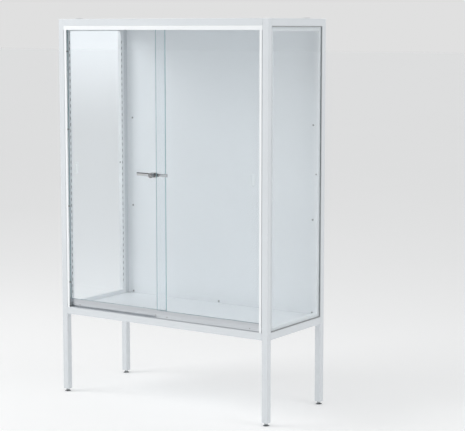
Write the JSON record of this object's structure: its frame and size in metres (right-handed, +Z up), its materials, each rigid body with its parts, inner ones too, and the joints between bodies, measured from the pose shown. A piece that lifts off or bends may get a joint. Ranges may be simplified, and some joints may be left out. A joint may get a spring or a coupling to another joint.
{
  "type": "glass showcase",
  "caption": "Free-standing white steel showcase on square tube legs, with glass sides, sliding glass doors in front, a solid back and slots for shelf clips.",
  "frame": {"origin": "on the floor, at the middle of the footprint, measured over the posts and the lock that stands 15 mm in front of them", "axes": "+X to the right seen from the front, -Y out of the front with its sliding doors, +Z up"},
  "size_m": [0.98, 0.425, 1.503],
  "materials": {
    "white_paint": "white powder coat, fine satin texture",
    "satin_aluminium": "clear anodised, drawn along its length",
    "clear_glass": "clear float glass with ground edges",
    "lock_chrome": "bright nickel-chrome plate",
    "foot_chrome": "zinc-nickel plated steel",
    "zinc_screw": "zinc-plated steel",
    "white_nylon": "natural nylon",
    "grey_rubber": "grey soft vinyl",
    "dark_plastic": "black moulded plastic"
  },
  "bodies": {
    "cabinet": {"post_front_left": "white_paint", "post_front_right": "white_paint", "post_rear_left": "white_paint", "post_rear_right": "white_paint", "top_rail_front": "white_paint", "top_rail_rear": "white_paint", "top_rail_left": "white_paint", "top_rail_right": "white_paint", "bottom_rail_front": "white_paint", "bottom_rail_rear": "white_paint", "bottom_rail_left": "white_paint", "bottom_rail_right": "white_paint", "top_panel": "white_paint", "base_panel": "white_paint", "base_upstand": "white_paint", "back_panel": "white_paint", "shelf_standard_front_left": "white_paint", "shelf_standard_front_right": "white_paint", "shelf_standard_rear_left": "white_paint", "shelf_standard_rear_right": "white_paint", "glazing_beads_left": "white_paint", "glazing_beads_right": "white_paint", "side_glass_left": "clear_glass", "side_glass_right": "clear_glass", "side_gaskets": "grey_rubber", "upper_track": "white_paint", "upper_guide": "white_nylon", "lower_track": "satin_aluminium", "door_jamb_left": "white_paint", "door_jamb_right": "white_paint", "jamb_seals": "grey_rubber", "jamb_screws": "zinc_screw", "door_bumpers": "grey_rubber", "top_panel_buttons": "white_nylon", "back_panel_screws": "zinc_screw", "base_panel_screws": "zinc_screw", "standard_screws": "zinc_screw", "leg_inserts": "dark_plastic"},
    "front_door": {"front_door_rail": "satin_aluminium", "front_door_glass": "clear_glass", "front_door_channel": "grey_rubber", "front_door_axles": "zinc_screw"},
    "rear_door": {"rear_door_rail": "satin_aluminium", "rear_door_glass": "clear_glass", "rear_door_channel": "grey_rubber", "rear_door_axles": "zinc_screw", "lock_bar": "lock_chrome", "lock_bar_pad": "dark_plastic"},
    "front_door_roller_left": {"front_door_roller_left": "white_nylon"},
    "front_door_roller_right": {"front_door_roller_right": "white_nylon"},
    "rear_door_roller_left": {"rear_door_roller_left": "white_nylon"},
    "rear_door_roller_right": {"rear_door_roller_right": "white_nylon"},
    "lock_case": {"lock_body": "lock_chrome"},
    "lock_key_plug": {"lock_plug": "lock_chrome", "lock_cam": "zinc_screw"},
    "foot_front_left": {"foot_front_left": "foot_chrome"},
    "foot_front_right": {"foot_front_right": "foot_chrome"},
    "foot_rear_left": {"foot_rear_left": "foot_chrome"},
    "foot_rear_right": {"foot_rear_right": "foot_chrome"}
  },
  "joints": [
    {"name": "front_door_slide", "type": "slide", "parent": "cabinet", "child": "front_door", "axis": [-1, 0, 0], "range_m": [0, 0.35]},
    {"name": "rear_door_slide", "type": "slide", "parent": "cabinet", "child": "rear_door", "axis": [1, 0, 0], "range_m": [0, 0.43]},
    {"name": "front_door_roller_left_spin", "type": "hinge", "parent": "front_door", "child": "front_door_roller_left", "pos_m": [0.031, -0.18975, 0.361], "axis": [0, -1, 0], "range_deg": [0, 2880]},
    {"name": "front_door_roller_right_spin", "type": "hinge", "parent": "front_door", "child": "front_door_roller_right", "pos_m": [0.4105, -0.18975, 0.361], "axis": [0, -1, 0], "range_deg": [0, 2880]},
    {"name": "rear_door_roller_left_spin", "type": "hinge", "parent": "rear_door", "child": "rear_door_roller_left", "pos_m": [-0.4105, -0.17825, 0.361], "axis": [0, 1, 0], "range_deg": [0, 3530]},
    {"name": "rear_door_roller_right_spin", "type": "hinge", "parent": "rear_door", "child": "rear_door_roller_right", "pos_m": [-0.0315, -0.17825, 0.361], "axis": [0, 1, 0], "range_deg": [0, 3530]},
    {"name": "lock_slide", "type": "slide", "parent": "front_door", "child": "lock_case", "axis": [-1, 0, 0], "range_m": [0, 0.05]},
    {"name": "lock_key_turn", "type": "hinge", "parent": "lock_case", "child": "lock_key_plug", "pos_m": [-0.033, -0.2115, 0.906], "axis": [0, -1, 0], "range_deg": [0, 90]},
    {"name": "foot_front_left_adjust", "type": "slide", "parent": "cabinet", "child": "foot_front_left", "axis": [0, 0, -1], "range_m": [0, 0.01]},
    {"name": "foot_front_right_adjust", "type": "slide", "parent": "cabinet", "child": "foot_front_right", "axis": [0, 0, -1], "range_m": [0, 0.01]},
    {"name": "foot_rear_left_adjust", "type": "slide", "parent": "cabinet", "child": "foot_rear_left", "axis": [0, 0, -1], "range_m": [0, 0.01]},
    {"name": "foot_rear_right_adjust", "type": "slide", "parent": "cabinet", "child": "foot_rear_right", "axis": [0, 0, -1], "range_m": [0, 0.01]}
  ],
  "couplings": [
    {"joint": "front_door_roller_left_spin", "follows": "front_door_slide", "rad_per_m": 142.86},
    {"joint": "front_door_roller_right_spin", "follows": "front_door_slide", "rad_per_m": 142.86},
    {"joint": "rear_door_roller_left_spin", "follows": "rear_door_slide", "rad_per_m": 142.86},
    {"joint": "rear_door_roller_right_spin", "follows": "rear_door_slide", "rad_per_m": 142.86}
  ]
}
